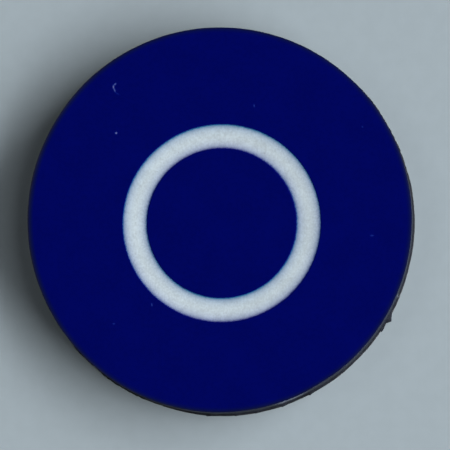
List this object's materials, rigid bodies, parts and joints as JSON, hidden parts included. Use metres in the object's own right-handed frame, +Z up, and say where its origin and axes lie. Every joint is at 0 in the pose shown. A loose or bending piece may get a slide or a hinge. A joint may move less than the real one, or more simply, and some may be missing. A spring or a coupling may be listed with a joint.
{
  "type": "dealer button",
  "caption": "Flat round game token of laminated dark board, with a navy printed face and a plain white ring, set on the table to mark whose turn it is to deal.",
  "frame": {"origin": "centre of the back, in the plane on which the token rests", "axes": "+Z up out of the printed face, +Y towards the top of the face as pictured, +X to its right"},
  "size_m": [0.0328, 0.0328, 0.0029],
  "materials": {
    "dark_liner": "matte",
    "dried_paste": "satin",
    "black_board": "matte",
    "white_paper": "matte",
    "navy_ink": "satin"
  },
  "bodies": {
    "root": {"back_paper": "dark_liner", "back_glue": "dried_paste", "core_board": "black_board", "face_glue": "dried_paste", "face_paper": "white_paper", "blue_field": "navy_ink", "blue_centre": "navy_ink"}
  },
  "joints": []
}
